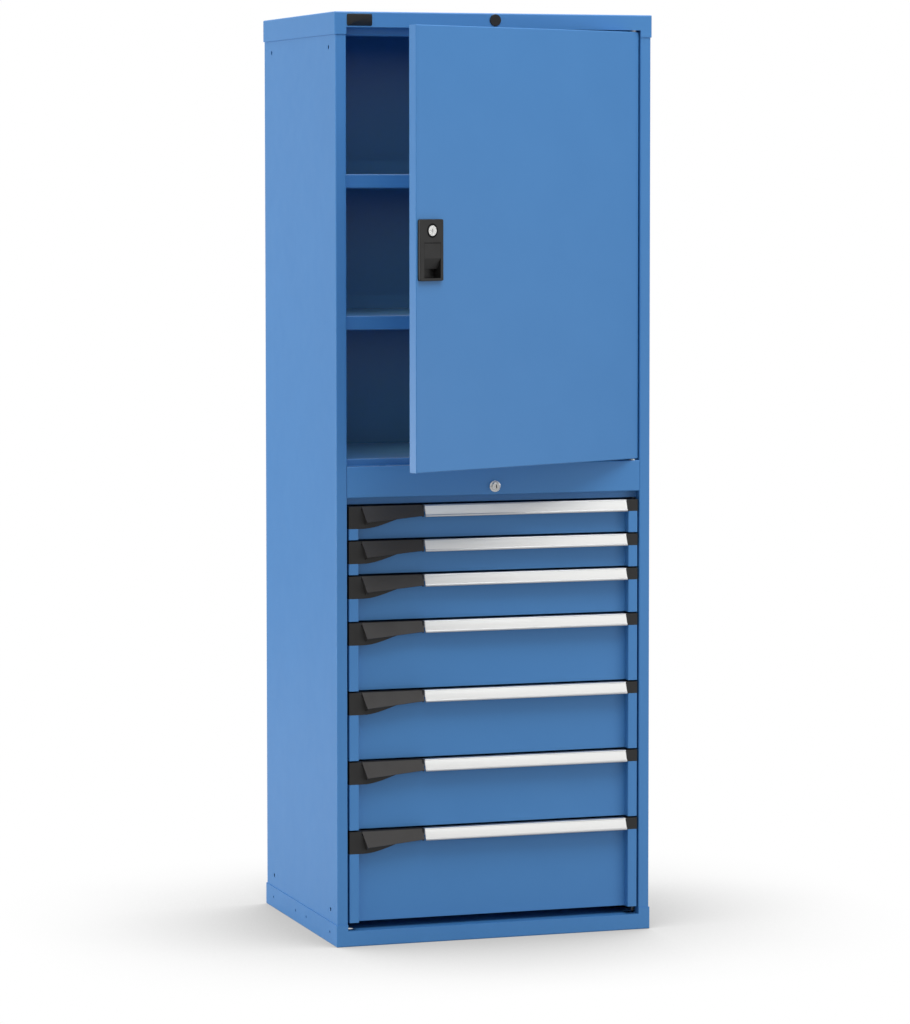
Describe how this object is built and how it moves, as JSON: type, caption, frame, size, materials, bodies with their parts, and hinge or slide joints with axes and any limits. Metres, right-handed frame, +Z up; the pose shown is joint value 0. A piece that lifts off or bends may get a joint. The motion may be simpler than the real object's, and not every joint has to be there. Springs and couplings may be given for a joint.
{
  "type": "tool cabinet",
  "caption": "Tall sheet-steel workshop cabinet: a hinged lockable door over shelves, and a stack of full-extension drawers with label rails below.",
  "frame": {"origin": "middle of the footprint, on the floor", "axes": "+X to the right, +Y to the back, +Z up; the door and the drawers face -Y"},
  "size_m": [0.717, 0.8498, 2],
  "materials": {
    "blue_enamel": "satin powder coat",
    "zinc_steel": "zinc plated",
    "black_plastic": "fine moulded grain",
    "aluminium_rail": "satin anodised",
    "lock_chrome": "polished nickel chrome"
  },
  "bodies": {
    "carcass": {"left_side_panel": "blue_enamel", "right_side_panel": "blue_enamel", "back_panel": "blue_enamel", "top_cap": "blue_enamel", "base_plinth": "blue_enamel", "divider": "blue_enamel", "door_header": "blue_enamel", "upper_shelf": "blue_enamel", "lower_shelf": "blue_enamel", "uprights": "zinc_steel", "shelf_clips": "zinc_steel", "runner_rails": "zinc_steel", "drawer_lock_barrel": "lock_chrome", "cap_hole_plug": "black_plastic", "door_pivot_pins": "zinc_steel"},
    "lock_plug": {"drawer_lock_plug": "lock_chrome"},
    "lock_link": {"lock_link": "zinc_steel"},
    "lock_bar": {"lock_bar": "zinc_steel"},
    "door": {"door_shell": "blue_enamel", "door_back_pan": "blue_enamel", "door_handle_housing": "black_plastic"},
    "door_paddle": {"door_handle_paddle": "black_plastic"},
    "door_lock": {"door_lock_plug": "lock_chrome"},
    "door_rod_top": {"door_rod_top": "zinc_steel"},
    "door_rod_bottom": {"door_rod_bottom": "zinc_steel"},
    "drawer_1": {"drawer_1_tray": "blue_enamel", "drawer_1_label_rail": "aluminium_rail", "drawer_1_handle_caps": "black_plastic"},
    "drawer_1_lever": {"drawer_1_lever": "black_plastic"},
    "drawer_1_runners": {"drawer_1_slides": "zinc_steel"},
    "drawer_2": {"drawer_2_tray": "blue_enamel", "drawer_2_label_rail": "aluminium_rail", "drawer_2_handle_caps": "black_plastic"},
    "drawer_2_lever": {"drawer_2_lever": "black_plastic"},
    "drawer_2_runners": {"drawer_2_slides": "zinc_steel"},
    "drawer_3": {"drawer_3_tray": "blue_enamel", "drawer_3_label_rail": "aluminium_rail", "drawer_3_handle_caps": "black_plastic"},
    "drawer_3_lever": {"drawer_3_lever": "black_plastic"},
    "drawer_3_runners": {"drawer_3_slides": "zinc_steel"},
    "drawer_4": {"drawer_4_tray": "blue_enamel", "drawer_4_label_rail": "aluminium_rail", "drawer_4_handle_caps": "black_plastic"},
    "drawer_4_lever": {"drawer_4_lever": "black_plastic"},
    "drawer_4_runners": {"drawer_4_slides": "zinc_steel"},
    "drawer_5": {"drawer_5_tray": "blue_enamel", "drawer_5_label_rail": "aluminium_rail", "drawer_5_handle_caps": "black_plastic"},
    "drawer_5_lever": {"drawer_5_lever": "black_plastic"},
    "drawer_5_runners": {"drawer_5_slides": "zinc_steel"},
    "drawer_6": {"drawer_6_tray": "blue_enamel", "drawer_6_label_rail": "aluminium_rail", "drawer_6_handle_caps": "black_plastic"},
    "drawer_6_lever": {"drawer_6_lever": "black_plastic"},
    "drawer_6_runners": {"drawer_6_slides": "zinc_steel"},
    "drawer_7": {"drawer_7_tray": "blue_enamel", "drawer_7_label_rail": "aluminium_rail", "drawer_7_handle_caps": "black_plastic"},
    "drawer_7_lever": {"drawer_7_lever": "black_plastic"},
    "drawer_7_runners": {"drawer_7_slides": "zinc_steel"}
  },
  "joints": [
    {"name": "lock_bar_lift", "type": "slide", "parent": "carcass", "child": "lock_bar", "axis": [0, 0, 1], "range_m": [0, 0.008]},
    {"name": "lock_link_slide", "type": "slide", "parent": "carcass", "child": "lock_link", "axis": [1, 0, 0], "range_m": [0, 0.008]},
    {"name": "drawer_lock_turn", "type": "hinge", "parent": "carcass", "child": "lock_plug", "pos_m": [0, -0.284, 0.9845], "axis": [0, 1, 0], "range_deg": [0, 90]},
    {"name": "door_hinge", "type": "hinge", "parent": "carcass", "child": "door", "pos_m": [0.3185, -0.276, 1.5], "axis": [0, 0, 1], "range_deg": [-25.2, 84.8]},
    {"name": "door_paddle_pull", "type": "hinge", "parent": "door", "child": "door_paddle", "pos_m": [-0.22634, -0.5473, 1.5115], "axis": [-0.9048, -0.4258, 0], "range_deg": [0, 25], "stiffness_Nm_per_rad": 0.05},
    {"name": "door_rod_top_slide", "type": "slide", "parent": "door", "child": "door_rod_top", "axis": [0, 0, 1], "range_m": [0, 0.012]},
    {"name": "door_rod_bottom_slide", "type": "slide", "parent": "door", "child": "door_rod_bottom", "axis": [0, 0, -1], "range_m": [0, 0.012]},
    {"name": "door_lock_turn", "type": "hinge", "parent": "door", "child": "door_lock", "pos_m": [-0.22537, -0.54961, 1.5394], "axis": [0.4258, -0.9048, 0], "range_deg": [0, 90]},
    {"name": "drawer_1_slide", "type": "slide", "parent": "carcass", "child": "drawer_1", "axis": [0, -1, 0], "range_m": [0, 0.45]},
    {"name": "drawer_1_runners_slide", "type": "slide", "parent": "carcass", "child": "drawer_1_runners", "axis": [0, -1, 0], "range_m": [0, 0.225]},
    {"name": "drawer_1_lever_pull", "type": "hinge", "parent": "drawer_1", "child": "drawer_1_lever", "pos_m": [-0.23, -0.281, 0.944], "axis": [-1, 0, 0], "range_deg": [0, 12], "stiffness_Nm_per_rad": 0.1},
    {"name": "drawer_2_slide", "type": "slide", "parent": "carcass", "child": "drawer_2", "axis": [0, -1, 0], "range_m": [0, 0.45]},
    {"name": "drawer_2_runners_slide", "type": "slide", "parent": "carcass", "child": "drawer_2_runners", "axis": [0, -1, 0], "range_m": [0, 0.225]},
    {"name": "drawer_2_lever_pull", "type": "hinge", "parent": "drawer_2", "child": "drawer_2_lever", "pos_m": [-0.23, -0.281, 0.869], "axis": [-1, 0, 0], "range_deg": [0, 12], "stiffness_Nm_per_rad": 0.1},
    {"name": "drawer_3_slide", "type": "slide", "parent": "carcass", "child": "drawer_3", "axis": [0, -1, 0], "range_m": [0, 0.45]},
    {"name": "drawer_3_runners_slide", "type": "slide", "parent": "carcass", "child": "drawer_3_runners", "axis": [0, -1, 0], "range_m": [0, 0.225]},
    {"name": "drawer_3_lever_pull", "type": "hinge", "parent": "drawer_3", "child": "drawer_3_lever", "pos_m": [-0.23, -0.281, 0.794], "axis": [-1, 0, 0], "range_deg": [0, 12], "stiffness_Nm_per_rad": 0.1},
    {"name": "drawer_4_slide", "type": "slide", "parent": "carcass", "child": "drawer_4", "axis": [0, -1, 0], "range_m": [0, 0.45]},
    {"name": "drawer_4_runners_slide", "type": "slide", "parent": "carcass", "child": "drawer_4_runners", "axis": [0, -1, 0], "range_m": [0, 0.225]},
    {"name": "drawer_4_lever_pull", "type": "hinge", "parent": "drawer_4", "child": "drawer_4_lever", "pos_m": [-0.23, -0.281, 0.694], "axis": [-1, 0, 0], "range_deg": [0, 12], "stiffness_Nm_per_rad": 0.1},
    {"name": "drawer_5_slide", "type": "slide", "parent": "carcass", "child": "drawer_5", "axis": [0, -1, 0], "range_m": [0, 0.45]},
    {"name": "drawer_5_runners_slide", "type": "slide", "parent": "carcass", "child": "drawer_5_runners", "axis": [0, -1, 0], "range_m": [0, 0.225]},
    {"name": "drawer_5_lever_pull", "type": "hinge", "parent": "drawer_5", "child": "drawer_5_lever", "pos_m": [-0.23, -0.281, 0.544], "axis": [-1, 0, 0], "range_deg": [0, 12], "stiffness_Nm_per_rad": 0.1},
    {"name": "drawer_6_slide", "type": "slide", "parent": "carcass", "child": "drawer_6", "axis": [0, -1, 0], "range_m": [0, 0.45]},
    {"name": "drawer_6_runners_slide", "type": "slide", "parent": "carcass", "child": "drawer_6_runners", "axis": [0, -1, 0], "range_m": [0, 0.225]},
    {"name": "drawer_6_lever_pull", "type": "hinge", "parent": "drawer_6", "child": "drawer_6_lever", "pos_m": [-0.23, -0.281, 0.394], "axis": [-1, 0, 0], "range_deg": [0, 12], "stiffness_Nm_per_rad": 0.1},
    {"name": "drawer_7_slide", "type": "slide", "parent": "carcass", "child": "drawer_7", "axis": [0, -1, 0], "range_m": [0, 0.45]},
    {"name": "drawer_7_runners_slide", "type": "slide", "parent": "carcass", "child": "drawer_7_runners", "axis": [0, -1, 0], "range_m": [0, 0.225]},
    {"name": "drawer_7_lever_pull", "type": "hinge", "parent": "drawer_7", "child": "drawer_7_lever", "pos_m": [-0.23, -0.281, 0.244], "axis": [-1, 0, 0], "range_deg": [0, 12], "stiffness_Nm_per_rad": 0.1}
  ],
  "couplings": [
    {"joint": "lock_link_slide", "follows": "lock_bar_lift", "ratio": 1},
    {"joint": "drawer_lock_turn", "follows": "lock_bar_lift", "rad_per_m": 196.35},
    {"joint": "door_rod_bottom_slide", "follows": "door_rod_top_slide", "ratio": 1},
    {"joint": "door_lock_turn", "follows": "door_rod_top_slide", "rad_per_m": 130.9},
    {"joint": "drawer_1_runners_slide", "follows": "drawer_1_slide", "ratio": 0.5},
    {"joint": "drawer_2_runners_slide", "follows": "drawer_2_slide", "ratio": 0.5},
    {"joint": "drawer_3_runners_slide", "follows": "drawer_3_slide", "ratio": 0.5},
    {"joint": "drawer_4_runners_slide", "follows": "drawer_4_slide", "ratio": 0.5},
    {"joint": "drawer_5_runners_slide", "follows": "drawer_5_slide", "ratio": 0.5},
    {"joint": "drawer_6_runners_slide", "follows": "drawer_6_slide", "ratio": 0.5},
    {"joint": "drawer_7_runners_slide", "follows": "drawer_7_slide", "ratio": 0.5}
  ]
}
